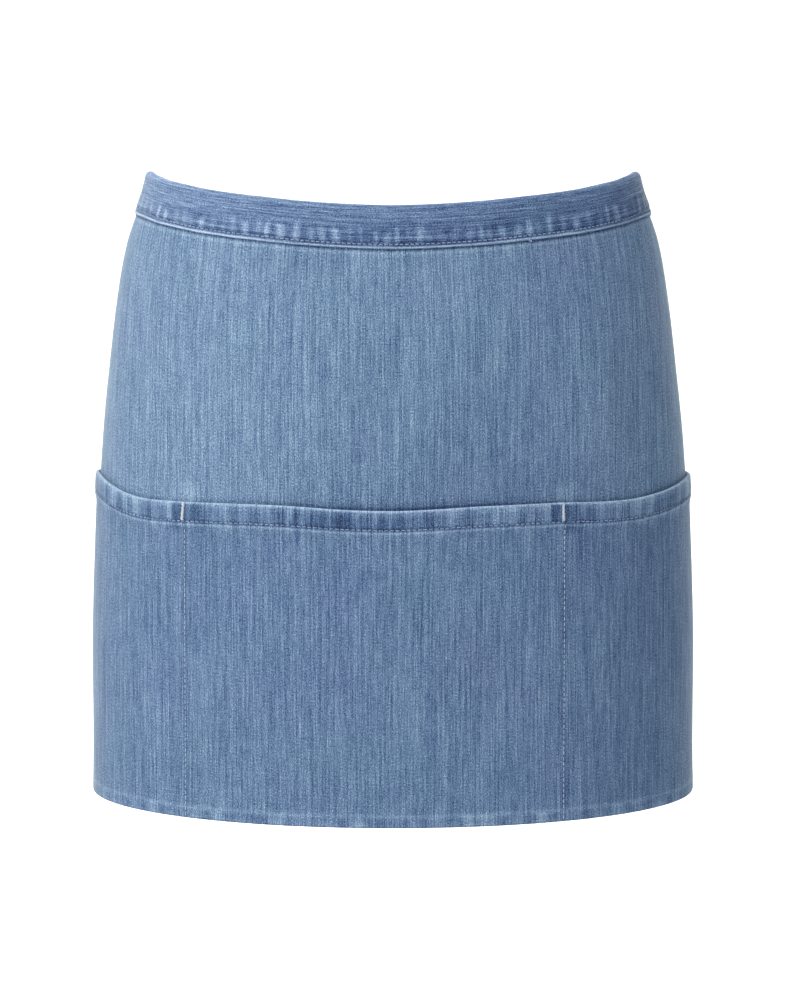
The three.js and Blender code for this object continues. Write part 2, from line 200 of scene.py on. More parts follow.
def girth(z, share=1.0):
    """Length round the body at a height, to a share of the half turn."""
    side, front, back = body_at(z)
    angles = np.linspace(0, math.pi * share, 1001)
    middles = (angles[1:] + angles[:-1]) / 2
    depth = np.where(middles < math.pi / 2, front, back)
    return float(np.sum(np.hypot(side * np.cos(middles), depth * np.sin(middles))) * angles[1])


WAIST_QUARTER = girth(0.0, 0.5)


def body_point(angle, z):
    """Points on the body and the outward direction there."""
    angle, z = np.broadcast_arrays(np.asarray(angle, float), np.asarray(z, float))
    side, front, back = body_at(z)
    side_up, front_up, back_up = body_at(z + 0.5)
    side_down, front_down, back_down = body_at(z - 0.5)
    ahead = np.abs(angle) <= math.pi / 2
    depth = np.where(ahead, front, back)
    steep_depth = np.where(ahead, front_up - front_down, back_up - back_down)
    sin, cos = np.sin(angle), np.cos(angle)
    outward = np.stack(
        [
            depth * sin,
            -side * cos,
            -(side * steep_depth * cos**2 + depth * (side_up - side_down) * sin**2),
        ],
        -1,
    )
    outward /= np.linalg.norm(outward, axis=-1, keepdims=True)
    return np.stack([side * sin, -depth * cos, z], -1), outward


def cloth_point(length, z, off):
    at, outward = body_point(angle_at(length, z), z)
    return at + outward * np.asarray(off, float)[..., None]


def smoothstep(x, low, high):
    t = np.clip((np.asarray(x, float) - low) / (high - low), 0, 1)
    return t * t * (3 - 2 * t)


def started_later(share, drop):
    """The body widens below the waist, so the waist's dip starts that much further round there."""
    widening = body_at(-drop)[0] / body_at(0)[0] - 1
    return share - widening * smoothstep(share, 0.9, 1.04)


def lift(across, drop):
    """How far a line that is level in the cut lies above its level on the body."""
    share = started_later(np.abs(across + TURNED) / WAIST_QUARTER, drop)
    waist = WAIST_RISE * waist_share(share)
    mouth = MOUTH_RISE * mouth_share(2 * across / APRON_WIDTH)
    above = waist + (mouth - waist) * (np.minimum(drop, MOUTH_DROP) / MOUTH_DROP) ** 2
    below = mouth * (APRON_DROP - drop) / POCKET_HEIGHT
    return np.where(drop > MOUTH_DROP, below, above)


def round_body(across, drop):
    gathered = BAND_EASE * np.clip(1 - drop / BAND_EASE_DROP, 0, 1) ** 2
    return across * (1 - gathered) + TURNED


def apron_point(across, drop, off):
    """A point of the apron, from its place in the cut and its distance off the body."""
    across, drop, off = np.broadcast_arrays(*(np.asarray(v, float) for v in (across, drop, off)))
    return cloth_point(round_body(across, drop), lift(across, drop) - drop, off)


def bump(x, middle, half_width):
    """A soft rounded bump, 1 in its middle."""
    return np.exp(-(((np.asarray(x, float) - middle) / half_width) ** 2))


def wander(x, spacing, generator):
    """Smooth random numbers from -1 to 1 along a line."""
    low, high = float(np.min(x)), float(np.max(x))
    count = max(int((high - low) / spacing) + 4, 4)
    values = generator.uniform(-1, 1, count)
    t = (np.asarray(x, float) - low) / spacing
    i = np.clip(t.astype(int), 0, count - 2)
    f = t - i
    f = f * f * (3 - 2 * f)
    return values[i] * (1 - f) + values[i + 1] * f


# Marks that washing has left along a seam, where the cloth is roped into ridges and valleys


class Roping:
    def __init__(self, low, high, spacing, width, reach, lean, generator):
        centres, at = [], low
        while at < high:
            at += generator.uniform(*spacing)
            centres.append(at)
        count = len(centres)
        self.centres = np.array(centres)
        self.widths = generator.uniform(*width, count)
        self.reach = generator.uniform(*reach, count)
        self.lean = generator.uniform(-lean, lean, count)
        self.strength = generator.uniform(0.35, 1.0, count)

    def at(self, across, above):
        """The ridges' height from 0 to 1, at a distance above the seam."""
        across, above = np.broadcast_arrays(across, above)
        total = np.zeros(across.shape)
        for c, w, r, k, s in zip(self.centres, self.widths, self.reach, self.lean, self.strength):
            near = np.abs(across - c) < 4 * w + 4
            if not near.any():
                continue
            height = above[near]
            ridge = np.exp(-(np.abs((across[near] - c - k * height) / w) ** 2.6))
            fall = 1 - smoothstep(height, 0.45 * r, r)
            total[near] = np.maximum(total[near], s * ridge * fall)
        return total


# Meshes


def new_piece(name, mesh, material, replaced=()):
    piece = bpy.data.objects.new(name, mesh)
    bpy.context.scene.collection.objects.link(piece)
    mesh.materials.append(material)
    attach(piece, "root")
    if replaced:
        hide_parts(*replaced)
    return piece


def mesh_from(name, points, faces, uv=None, columns=None, sharp=60):
    """A smooth-shaded mesh from arrays in millimetres. columns are named values at the points."""
    mesh = bpy.data.meshes.new(name)
    points = np.ascontiguousarray(np.asarray(points, float) / 1000)
    faces = np.ascontiguousarray(faces)
    sides = faces.shape[1]
    mesh.vertices.add(len(points))
    mesh.vertices.foreach_set("co", points.ravel())
    mesh.loops.add(faces.size)
    mesh.loops.foreach_set("vertex_index", faces.ravel())
    mesh.polygons.add(len(faces))
    mesh.polygons.foreach_set("loop_start", np.arange(0, faces.size, sides))
    if uv is not None:
        layer = mesh.uv_layers.new(name="cut")
        layer.data.foreach_set("uv", (np.asarray(uv)[faces.ravel()] / 1000).ravel())
    mesh.update(calc_edges=True)
    for key, values in (columns or {}).items():
        attribute = mesh.attributes.new(key, "FLOAT", "POINT")
        attribute.data.foreach_set("value", np.asarray(values, float).ravel())
    mesh.shade_smooth()
    mesh.set_sharp_from_angle(angle=math.radians(sharp))
    return mesh


def quads(a, b, c, d):
    return np.stack([a, b, c, d], -1).reshape(-1, 4)


def sheet_faces(rows, columns):
    """Faces of a closed sheet whose outer points come first and inner points after them."""
    o = np.arange(rows * columns).reshape(rows, columns)
    i = o + rows * columns
    return np.concatenate(
        [
            quads(o[:-1, :-1], o[1:, :-1], o[1:, 1:], o[:-1, 1:]),
            quads(i[:-1, :-1], i[:-1, 1:], i[1:, 1:], i[1:, :-1]),
            quads(o[:-1, 0], i[:-1, 0], i[1:, 0], o[1:, 0]),
            quads(o[:-1, -1], o[1:, -1], i[1:, -1], i[:-1, -1]),
            quads(o[0, :-1], o[0, 1:], i[0, 1:], i[0, :-1]),
            quads(o[-1, :-1], i[-1, :-1], i[-1, 1:], o[-1, 1:]),
        ]
    )


def sheet_mesh(name, outer, inner, across, drop, wear_and_painted_light, sharp=60):
    """A closed sheet. The paleness given per point is above 0 where the cloth is paler, from wear and from painted
    highlights, and below 0 where it is darker, from kept dye and from painted shade.
    """
    rows, columns = outer.shape[:2]
    across, drop, wear_and_painted_light = (np.broadcast_to(v, (rows, columns)).ravel() for v in (across, drop, wear_and_painted_light))
    uv = np.stack([across, -drop], -1)
    return mesh_from(
        name,
        np.concatenate([outer.reshape(-1, 3), inner.reshape(-1, 3)]),
        sheet_faces(rows, columns),
        np.concatenate([uv, uv]),
        {
            "wear_and_painted_light": np.concatenate([wear_and_painted_light, wear_and_painted_light]),
            "inside": np.repeat([0.0, 1.0], rows * columns),
        },
        sharp,
    )


# The cloth's columns, with one on each pocket seam and a few round each side fold

FOLD_REACH = DENIM + SEWN_GAP / 2
FOLD_STEPS = 6


def cloth_stations(spacing):
    ends = [FOLD_REACH - APRON_WIDTH / 2, -SEAM, SEAM, APRON_WIDTH / 2 - FOLD_REACH]
    pieces = [np.array(ends[:1])]
    for low, high in zip(ends, ends[1:]):
        count = max(int(round((high - low) / spacing)), 1)
        pieces.append(np.linspace(low, high, count + 1)[1:])
    return np.concatenate(pieces)


STATIONS = cloth_stations(2.0)
FOLD_EDGE = APRON_WIDTH / 2 - FOLD_REACH


def with_side_hems(drops, faces):
    """Points of a cloth whose side edges are folded in. faces(across, drop) gives the two faces' offs."""
    drop = np.asarray(drops, float)[:, None]
    near, far = faces(STATIONS[None, :], drop)
    blocks = []

    def fold(side):
        edge = np.full((1, 1), side * FOLD_EDGE)
        close, wide = faces(edge, drop)
        columns = []
        for step in range(1, FOLD_STEPS + 1):
            turn = math.pi * step / FOLD_STEPS
            across = [edge + side * (off - HEM_MIDDLE) * math.sin(turn) for off in (wide, close)]
            offs = [HEM_MIDDLE + (off - HEM_MIDDLE) * math.cos(turn) for off in (wide, close)]
            cut = edge + side * step * FOLD_REACH * 0.5
            columns.append((across, offs, cut))
        for back in (3.0, 6.0, SIDE_HEM - FOLD_REACH):
            across = [edge - side * back + 0 * wide] * 2
            offs = [2 * HEM_MIDDLE - wide, 2 * HEM_MIDDLE - close]
            columns.append((across, offs, edge + side * (FOLD_STEPS * FOLD_REACH * 0.5 + back)))
        return columns

    shape = (len(drops), 1)
    for across, offs, cut in reversed(fold(-1)):
        blocks.append([np.broadcast_to(v, shape) for v in (*across, *offs, cut)])
    flat = np.broadcast_to(STATIONS[None, :], (len(drops), len(STATIONS)))
    blocks.append([flat, flat, np.broadcast_to(far, flat.shape), np.broadcast_to(near, flat.shape), flat])
    for across, offs, cut in fold(1):
        blocks.append([np.broadcast_to(v, shape) for v in (*across, *offs, cut)])
    outer_across, inner_across, outer_off, inner_off, cut = (
        np.concatenate([b[k] for b in blocks], 1) for k in range(5)
    )
    return (
        apron_point(outer_across, drop, outer_off),
        apron_point(inner_across, drop, inner_off),
        cut,
        np.broadcast_to(drop, cut.shape),
    )


# Node materials


class Nodes:
    """A short way to write a material's nodes."""

    def __init__(self, name):
        self.material = bpy.data.materials.new(name)
        self.material.use_nodes = True
        self.tree = self.material.node_tree
        self.tree.nodes.clear()
        self.shader = self.add("ShaderNodeBsdfPrincipled")
        output = self.add("ShaderNodeOutputMaterial")
        self.tree.links.new(self.shader.outputs[0], output.inputs["Surface"])

    def add(self, kind, **settings):
        node = self.tree.nodes.new(kind)
        for key, value in settings.items():
            setattr(node, key, value)
        return node

    def feed(self, socket, value):
        if isinstance(value, bpy.types.NodeSocket):
            self.tree.links.new(value, socket)
        else:
            socket.default_value = value

    def math(self, operation, *values):
        node = self.add("ShaderNodeMath", operation=operation)
        for socket, value in zip(node.inputs, values):
            self.feed(socket, value)
        return node.outputs[0]

    def sum(self, *values):
        total = values[0]
        for value in values[1:]:
            total = self.math("ADD", total, value)
        return total

    def vector(self, x, y, z=0.0):
        node = self.add("ShaderNodeCombineXYZ")
        for socket, value in zip(node.inputs, (x, y, z)):
            self.feed(socket, value)
        return node.outputs[0]

    def noise(self, x, y, seed=0.0, detail=0.0, roughness=0.5):
        """Noise about zero, roughly from -1 to 1. x and y are in units of its grain."""
        node = self.add("ShaderNodeTexNoise", noise_dimensions="3D")
        self.feed(node.inputs["Vector"], self.vector(x, y, seed))
        node.inputs["Scale"].default_value = 1.0
        node.inputs["Detail"].default_value = detail
        node.inputs["Roughness"].default_value = roughness
        return self.math("MULTIPLY_ADD", node.outputs["Fac"], 4.0, -2.0)

    def attribute(self, name):
        return self.add("ShaderNodeAttribute", attribute_name=name).outputs["Fac"]

    def ramp(self, value, stops):
        node = self.add("ShaderNodeValToRGB")
        self.feed(node.inputs[0], value)
        ramp = node.color_ramp
        while len(ramp.elements) < len(stops):
            ramp.elements.new(0.5)
        for element, (place, colour) in zip(ramp.elements, stops):
            element.position = place
            element.color = (*(linear(c) for c in colour), 1.0)
        return node.outputs[0]

    def mixed(self, factor, low, high, blend="MIX"):
        """Two colours mixed, or low multiplied by high."""
        node = self.add("ShaderNodeMix", data_type="RGBA", blend_type=blend)
        for socket, value in zip((node.inputs[0], node.inputs[6], node.inputs[7]), (factor, low, high)):
            self.feed(socket, value)
        return node.outputs[2]

    def near(self, distance, reach):
        """1 where a distance is 0, falling to 0 at its reach."""
        share = self.math("DIVIDE", distance, reach)
        fall = self.math("MULTIPLY_ADD", self.math("MULTIPLY", share, share), -1.0, 1.0)
        return self.math("MAXIMUM", fall, 0.0)

    def needle_hole_shade(self, across, drop, row):
        """Painted shade in the needle holes between the stitches of a row."""
        along, aside = (across, drop) if row.way == "across" else (drop, across)
        pitch = (row.high - row.low) / stitch_count(row)
        turn = self.math("MULTIPLY_ADD", along, 1 / pitch, 0.5 - row.low / pitch)
        from_hole = self.math("MULTIPLY", self.math("SUBTRACT", self.math("FRACT", turn), 0.5), pitch)
        from_row = self.math("SUBTRACT", aside, row.place)
        middle, half = (row.low + row.high) / 2, (row.high - row.low) / 2
        in_row = self.math("LESS_THAN", self.math("ABSOLUTE", self.math("SUBTRACT", along, middle)), half)
        hole = self.math("MULTIPLY", self.near(from_hole, 0.5), self.near(from_row, 0.42))
        return self.math("MULTIPLY", hole, in_row)

    def bump(self, height, distance, strength=1.0):
        """height is in millimetres times distance."""
        node = self.add("ShaderNodeBump")
        node.inputs["Strength"].default_value = strength
        node.inputs["Distance"].default_value = distance / 1000
        self.feed(node.inputs["Height"], height)
        self.tree.links.new(node.outputs[0], self.shader.inputs["Normal"])


def linear(value):
    """A channel of a colour as a screen shows it, 0 to 255, as light."""
    v = value / 255
    return v / 12.92 if v <= 0.04045 else ((v + 0.055) / 1.055) ** 2.4


# Washed denim's colours, from dye that is left to dye that is worn away; painted shade and painted highlights move
# along them too
DEEP_INDIGO = (27, 43, 70)
INDIGO = (44, 64, 103)
DULL_BLUE = (72, 96, 132)
MIDDLE_BLUE = (93, 117, 149)
LIGHT_BLUE = (116, 139, 169)
WORN_PALE = (160, 183, 207)
FACE_COLOURS = [
    (0.0, DEEP_INDIGO), (0.13, INDIGO), (0.347, DULL_BLUE), (0.5, MIDDLE_BLUE), (0.667, LIGHT_BLUE), (0.993, WORN_PALE)
]
REVERSE_COLOURS = [(0.0, (84, 102, 133)), (0.5, (140, 155, 177)), (1.0, (190, 198, 206))]
TEAL_TINT = (0.96, 1.02, 0.985, 1.0)
VIOLET_TINT = (1.03, 0.985, 1.015, 1.0)

# Rows of stitches, by the way they run, their place beside it, their ends, in the cut, and the painted shade of the
# furrow along them
StitchRow = namedtuple("StitchRow", "way place low high furrow")
STITCHED_HALF = APRON_WIDTH / 2 - 1
LEFT_SEAM, RIGHT_SEAM = 0.8 - SEAM, 1.1 + SEAM
BAND_ROWS = [
    StitchRow("across", BAND_STITCH, -STITCHED_HALF - 8, STITCHED_HALF + 8, 0.07),
    StitchRow("down", -STITCHED_HALF - 6, 3, BAND_STITCH - 1, 0.1),
    StitchRow("down", STITCHED_HALF + 6, 3, BAND_STITCH - 1, 0.1),
]
RIM_ROWS = [StitchRow("across", RIM_STITCH, -STITCHED_HALF, STITCHED_HALF, 0.07)]
POCKET_ROWS = [
    StitchRow("down", place, top, APRON_DROP - 1, furrow)
    for place, top, furrow in (
        (LEFT_SEAM, RIM_STITCH + 1, 0.04),
        (RIGHT_SEAM, RIM_STITCH + 1, 0.15),
        (1.5 - STITCHED_HALF, MOUTH_DROP + 1, 0.1),
        (STITCHED_HALF - 1.5, MOUTH_DROP + 1, 0.1),
    )
]
SIDE_HEM_ROWS = [
    StitchRow("down", side * (STITCHED_HALF - SIDE_HEM + 2.5), BAND_HEIGHT + 1, MOUTH_DROP - 1, 0.1)
    for side in (-1, 1)
]


def stitch_count(row):
    return int((row.high - row.low) / STITCH_PITCH)


def denim_material(name, grain="down", tone=0.0, streak=1.0, violet=0.5, rows=()):
    """Washed denim. grain is the way its slubs run, down or along. tone shifts it paler or darker."""
    n = Nodes(name)
    uv = n.add("ShaderNodeUVMap", uv_map="cut").outputs[0]
    split = n.add("ShaderNodeSeparateXYZ")
    n.feed(split.inputs[0], uv)
    u = n.math("MULTIPLY", split.outputs[0], 1000.0)
    v = n.math("MULTIPLY", split.outputs[1], -1000.0)
    cross, run = (u, v) if grain == "down" else (v, u)

    def noise(cross_size, run_size, seed, detail=0.0):
        return n.noise(
            n.math("DIVIDE", cross, cross_size), n.math("DIVIDE", run, run_size), seed, detail
        )

    slub = noise(0.45, 7.5, 1.3)
    long_slub = noise(0.5, 48.0, 5.7)
    speckle = noise(0.42, 0.85, 9.1)
    weft = noise(4.0, 0.45, 13.7)
    patch = noise(9.0, 14.0, 21.3, 2.0)
    broad = noise(60.0, 80.0, 33.1, 1.0)
    wear_and_painted_light = n.attribute("wear_and_painted_light")
    parts = [
        n.math("MULTIPLY", slub, 0.095 * streak),
        n.math("MULTIPLY", long_slub, 0.115 * streak),
        n.math("MULTIPLY", speckle, 0.22),
        n.math("MULTIPLY", weft, 0.03),
        n.math("MULTIPLY", patch, 0.03),
        n.math("MULTIPLY", broad, 0.02),
        n.math("MULTIPLY", wear_and_painted_light, 0.33),
        0.5 + tone,
    ]
    # Each row of stitches gets painted shade: dark dots in its needle holes and a darker strip along its furrow.
    for row in rows:
        parts.append(n.math("MULTIPLY", n.needle_hole_shade(u, v, row), -0.35 if row.way == "across" else -0.1))
        aside = n.math("SUBTRACT", v if row.way == "across" else u, row.place)
        parts.append(n.math("MULTIPLY", n.near(aside, 0.9), -row.furrow))
    value = n.sum(*parts)
    face = n.ramp(value, FACE_COLOURS)
    hue = n.math("MULTIPLY_ADD", noise(38.0, 55.0, 41.9, 1.0), 0.4, violet)
    face = n.mixed(1.0, face, n.mixed(hue, TEAL_TINT, VIOLET_TINT), "MULTIPLY")
    reverse_value = n.sum(n.math("MULTIPLY", slub, 0.12), n.math("MULTIPLY", speckle, 0.3), 0.5)
    reverse = n.ramp(reverse_value, REVERSE_COLOURS)
    n.feed(n.shader.inputs["Base Color"], n.mixed(n.attribute("inside"), face, reverse))
    n.shader.inputs["Roughness"].default_value = 0.9
    n.shader.inputs["Specular IOR Level"].default_value = 0.2
    n.shader.inputs["Sheen Weight"].default_value = 0.3
    n.shader.inputs["Sheen Roughness"].default_value = 0.35
    n.shader.inputs["Sheen Tint"].default_value = (0.9, 1.0, 0.93, 1.0)
    twill = n.math("SINE", n.math("MULTIPLY", n.math("ADD", u, n.math("MULTIPLY", v, -0.8)), 11.0))
    height = n.sum(
        n.math("MULTIPLY", slub, 0.5),
        n.math("MULTIPLY", speckle, 0.3),
        n.math("MULTIPLY", weft, 0.2),
        n.math("MULTIPLY", twill, 0.25),
    )
    n.bump(height, 0.06, 0.6)
    return n.material


def thread_material(name, colour, worn):
    n = Nodes(name)
    at = n.add("ShaderNodeTexCoord").outputs["Object"]
    split = n.add("ShaderNodeSeparateXYZ")
    n.feed(split.inputs[0], at)
    x, y, z = (n.math("MULTIPLY", split.outputs[k], 1000.0) for k in range(3))
    fuzz = n.noise(n.math("MULTIPLY", n.math("ADD", x, y), 5.0), n.math("MULTIPLY", z, 5.0), 3.0)
    patch = n.noise(n.math("MULTIPLY", x, 0.2), n.math("MULTIPLY", z, 0.2), 8.0)
    value = n.sum(n.math("MULTIPLY", fuzz, 0.2), n.math("MULTIPLY", patch, 0.3), 0.5)
    n.feed(n.shader.inputs["Base Color"], n.ramp(value, [(0.1, worn), (0.9, colour)]))
    n.shader.inputs["Roughness"].default_value = 0.75
    n.shader.inputs["Specular IOR Level"].default_value = 0.3
    n.shader.inputs["Sheen Weight"].default_value = 0.1
    n.bump(fuzz, 0.05, 0.6)
    return n.material


# The pocket's tone is set darker than the panel's above it: painted shade, as the light falls from above.
panel_denim = denim_material("panel_denim_worn_painted_light", tone=-0.025, violet=0.4, rows=SIDE_HEM_ROWS)
pocket_denim = denim_material("pocket_denim_worn_painted_light", tone=-0.08, rows=RIM_ROWS + POCKET_ROWS)
band_denim = denim_material("band_denim_worn_painted_light", grain="along", tone=-0.04, streak=1.15, violet=0.95, rows=BAND_ROWS)
tie_denim = denim_material("tie_denim_worn_painted_shade", tone=-0.04)
seam_thread = thread_material("seam_thread", (154, 174, 201), (98, 120, 153))
pocket_thread = thread_material("pocket_thread", (168, 187, 210), (118, 141, 173))
tack_thread = thread_material("tack_thread", (206, 212, 221), (150, 166, 190))


# Front panel


def tack_halo(across, drop):
    """Worn pale on the panel just above each tack, where the pocket pulls."""
    total = 0
    for seam in (-SEAM, SEAM):
        total = total + bump(across, seam + 1.5, 5.5) * bump(drop, MOUTH_DROP - 3.5, 5.5)
    return total


# The panel's soft upright folds above the pockets, by their place across, height and half width
PANEL_FOLDS = [(-172, 0.5, 26), (-98, 0.5, 24), (-22, 0.7, 26), (46, 1.0, 22), (132, 1.4, 23)]


def panel_folds(across, drop):
    """Slight folds of the hanging cloth, held flat by the waistband and by the pockets."""
    hold = smoothstep(drop, BAND_HEIGHT + 2, BAND_HEIGHT + 45) * (1 - smoothstep(drop, MOUTH_DROP - 45, MOUTH_DROP - 6))
    return hold * sum(height * bump(across + 0.12 * (drop - 90), place, half) for place, height, half in PANEL_FOLDS)


def front_panel():
    drops = np.concatenate(
        [
            [BAND_FOLD, 7.0, 14.0],
            np.arange(BAND_HEIGHT - 3, BAND_HEIGHT + 5, 0.45),
            np.arange(BAND_HEIGHT + 6, MOUTH_DROP - 6, 1.75),
            np.arange(MOUTH_DROP - 5, MOUTH_DROP + 3, 0.5),
            np.linspace(MOUTH_DROP + 8, APRON_DROP, 18),
        ]
    )

    def faces(across, drop):
        off = panel_folds(across, drop)
        return off, off + DENIM

    outer, inner, across, drop = with_side_hems(drops, faces)
    # Painted light on the panel: a painted shadow under the waistband's lower edge, a painted highlight just below it,
    # a painted shadow above the pockets' mouth, strongest in the middle where the pocket gapes, and painted shade
    # growing towards the mouth.
    band_shadow = bump(drop, BAND_HEIGHT + 0.45, 0.5)
    below_band_highlight = bump(drop, BAND_HEIGHT + 2.2, 0.95)
    gaping = 0.15 + 0.85 * bump(across, 22, 62)
    mouth_gap_shadow = gaping * (bump(drop, MOUTH_DROP - 0.3, 1.0) + 0.2 * bump(drop, MOUTH_DROP - 2.5, 1.8))
    mouth_shade = smoothstep(drop, MOUTH_DROP - 60, MOUTH_DROP) * bump(across, 30, 90)
    # Painted light across the width: paler towards the sides, most on the left.
    pale_side = 0.15 * (1 - smoothstep(across, -90, -10)) + 0.08 * smoothstep(across, 90, 140)
    wear_and_painted_light = pale_side + 0.55 * tack_halo(across, drop) - 0.75 * band_shadow + 0.42 * below_band_highlight - 0.9 * mouth_gap_shadow - 0.13 * mouth_shade
    mesh = sheet_mesh("front_panel_cloth", outer, inner, across, drop, wear_and_painted_light)
    piece = new_piece("front_panel_cloth", mesh, panel_denim, ["front_panel"])
    return piece


# Pockets

rim_roping = Roping(-330, 330, (7.0, 15.0), (1.8, 4.4), (16, 30), 0.12, chance)
below_roping = Roping(-330, 330, (5.0, 11.0), (1.5, 3.2), (4, 9), 0.2, chance)
hem_roping = Roping(-330, 330, (7.0, 20.0), (2.5, 7.0), (6, 12), 0.25, chance)


def gape(across, down):
    in_middle = np.abs(across) < SEAM
    share = np.where(
        in_middle, (across + SEAM) / MIDDLE_POCKET, (np.abs(across) - SEAM) / (APRON_WIDTH / 2 - SEAM)
    )
    most = np.where(in_middle, MIDDLE_GAPE, SIDE_GAPE)
    return most * np.sin(math.pi * np.clip(share, 0, 1)) ** 2 * np.clip(1 - down, 0, 1) ** 1.5


EASE_BELOW_RIM = 5.0


def pocket_relief(across, drop):
    """Small height changes of the pockets' face: seams, roping and the rim's stitched line."""
    above = RIM_STITCH - drop
    rim = rim_roping.at(across, np.clip(above, 0, 60)) * (above > 0) * smoothstep(drop, MOUTH_DROP, MOUTH_DROP + 1.5)
    below = below_roping.at(across, np.clip(-above, 0, 60)) * (above <= 0)
    hem = hem_roping.at(across, np.clip(APRON_DROP - drop, 0, 60)) * smoothstep(APRON_DROP - drop, 0.2, 2.0)
    stitched = bump(drop, RIM_STITCH, 0.7)
    seams = 0.1 * bump(across, LEFT_SEAM, 0.8) + 0.25 * bump(across, RIGHT_SEAM, 0.8)
    seams = seams * smoothstep(drop, RIM_STITCH, RIM_STITCH + 2)
    return 0.28 * rim + 0.2 * below + 0.18 * hem - 0.45 * stitched - seams


def pocket_wear_and_painted_light(across, drop):
    above = RIM_STITCH - drop
    from_mouth = drop - MOUTH_DROP
    in_rim = smoothstep(above, -0.3, 0.3)
    rim = rim_roping.at(across, np.clip(above, 0, 60))
    # Painted light across the rim: paler away from its middle.
    paler_aside = 0.6 * (1 - bump(across, -10, 45))
    wear_and_painted_light = in_rim * (0.85 * rim - 0.85 + paler_aside + 0.3 * (1 - smoothstep(from_mouth, 2.6, 4.4)))
    below = below_roping.at(across, np.clip(-above, 0, 60))
    reach = 1 - smoothstep(-above, 3.5, 9.0)
    wear_and_painted_light = wear_and_painted_light + (1 - in_rim) * reach * (0.5 * below - 0.06)
    # Painted shade in thin lines just above and below the rim's stitch row, and a painted highlight on the ridge below
    # them.
    wear_and_painted_light = wear_and_painted_light - 0.35 * bump(above, 0.8, 0.4) - 0.6 * bump(above, -0.75, 0.35) + 0.55 * bump(above, -1.75, 0.65)
    edge = bump(from_mouth, 0.2, 0.85)
    wear_and_painted_light = wear_and_painted_light * (1 - edge) + 1.15 * edge
    for seam in (-SEAM, SEAM):
        reach = np.where(across > seam, 10.0, 6.8)
        dyed = in_rim * (1 - smoothstep(np.abs(across - seam), reach - 0.8, reach + 0.8)) * (1 - edge)
        wear_and_painted_light = wear_and_painted_light * (1 - dyed) + (0.2 * wear_and_painted_light - 0.52) * dyed
        wear_and_painted_light = wear_and_painted_light - 0.45 * bump(np.abs(across - seam), 4.0, 4.5) * bump(above, -3.4, 1.7)
    from_hem = APRON_DROP - drop
    hem = hem_roping.at(across, np.clip(from_hem, 0, 60))
    wear_and_painted_light = wear_and_painted_light + (1 - smoothstep(from_hem, 4.8, 7.5)) * (0.8 * hem - 0.24)
    wear_and_painted_light = wear_and_painted_light + 0.52 * bump(from_hem, 6.4, 1.3) * (0.8 + 0.4 * hem)
    # At the bottom edge: a worn pale line, and painted shade on the edge's underside.
    return wear_and_painted_light + 0.15 * bump(from_hem, 1.5, 0.8) - 0.5 * bump(from_hem, 0, 0.6)


def pocket_panel():
    near = DENIM + SEWN_GAP
    rim = MOUTH_DROP + RIM_HEIGHT
    below_rim = rim + EASE_BELOW_RIM
    drops = np.concatenate(
        [
            MOUTH_DROP + np.array([0.0, 0.12, 0.35, 0.7, 1.2]),
            np.arange(MOUTH_DROP + 1.8, RIM_STITCH - 1.2, 0.85),
            np.arange(RIM_STITCH - 1.0, RIM_STITCH + 4, 0.45),
            np.arange(RIM_STITCH + 4.6, APRON_DROP - 9, 2.1),
            np.arange(APRON_DROP - 8.6, APRON_DROP - 1, 0.8),
            APRON_DROP - np.array([0.9, 0.5, 0.2, 0.0]),
        ]
    )

    def faces(across, drop):
        eased = DENIM * (1 - smoothstep(drop, rim - 0.6, below_rim))
        face = near + eased + gape(across, (drop - MOUTH_DROP) / POCKET_HEIGHT)
        facing = np.where(drop <= rim, DENIM, 0.0)
        top = np.clip(1 - (drop - MOUTH_DROP) / 1.2, 0, 1)
        rounded = (1 - np.sqrt(np.clip(1 - top**2, 0, 1))) * DENIM * 0.95
        bottom = np.clip(1 - (APRON_DROP - drop) / 0.9, 0, 1)
        tucked = (1 - np.sqrt(np.clip(1 - bottom**2, 0, 1))) * 0.9
        relief = pocket_relief(across, drop) * (1 - top)
        return face - facing + rounded, face + DENIM - rounded - tucked + relief

    outer, inner, across, drop = with_side_hems(drops, faces)
    wear_and_painted_light = pocket_wear_and_painted_light(across, drop)
    mesh = sheet_mesh("pocket_cloth", outer, inner, across, drop, wear_and_painted_light, 75)
    piece = new_piece("pocket_cloth", mesh, pocket_denim, ["pocket_panel"])
    return piece


# Waistband

band_roping = Roping(-330, 330, (4.2, 9.5), (1.0, 2.5), (8, 15), 0.22, chance)


def band_relief(across, drop):
    above = np.clip(BAND_STITCH - drop, 0, 60)
    ridges = band_roping.at(across, above) * smoothstep(above, 0, 1.5)
    return 0.32 * ridges - 0.5 * bump(drop, BAND_STITCH, 0.7)


def band_wear_and_painted_light(across, drop):
    above = BAND_STITCH - drop
    ridges = band_roping.at(across, np.clip(above, 0, 60))
    lower = (1 - smoothstep(above, 6.0, 13.0)) * smoothstep(above, -0.4, 0.4)
    # Painted shade in thin lines just above and below the stitch row.
    wear_and_painted_light = lower * (1.2 * ridges - 0.38) - 0.5 * bump(above, 1.0, 0.45) - 0.5 * bump(above, -0.55, 0.35)
    # Painted light across the band: paler towards the lit left and darker in the middle; the pale lower edge is wear.
    wear_and_painted_light = wear_and_painted_light + 1.5 * bump(drop, BAND_HEIGHT - 0.6, 0.38) - 0.002 * across - 0.25 * bump(across, 0, 80)
    return wear_and_painted_light + 0.25 * bump(drop, 0.3, 1.3)


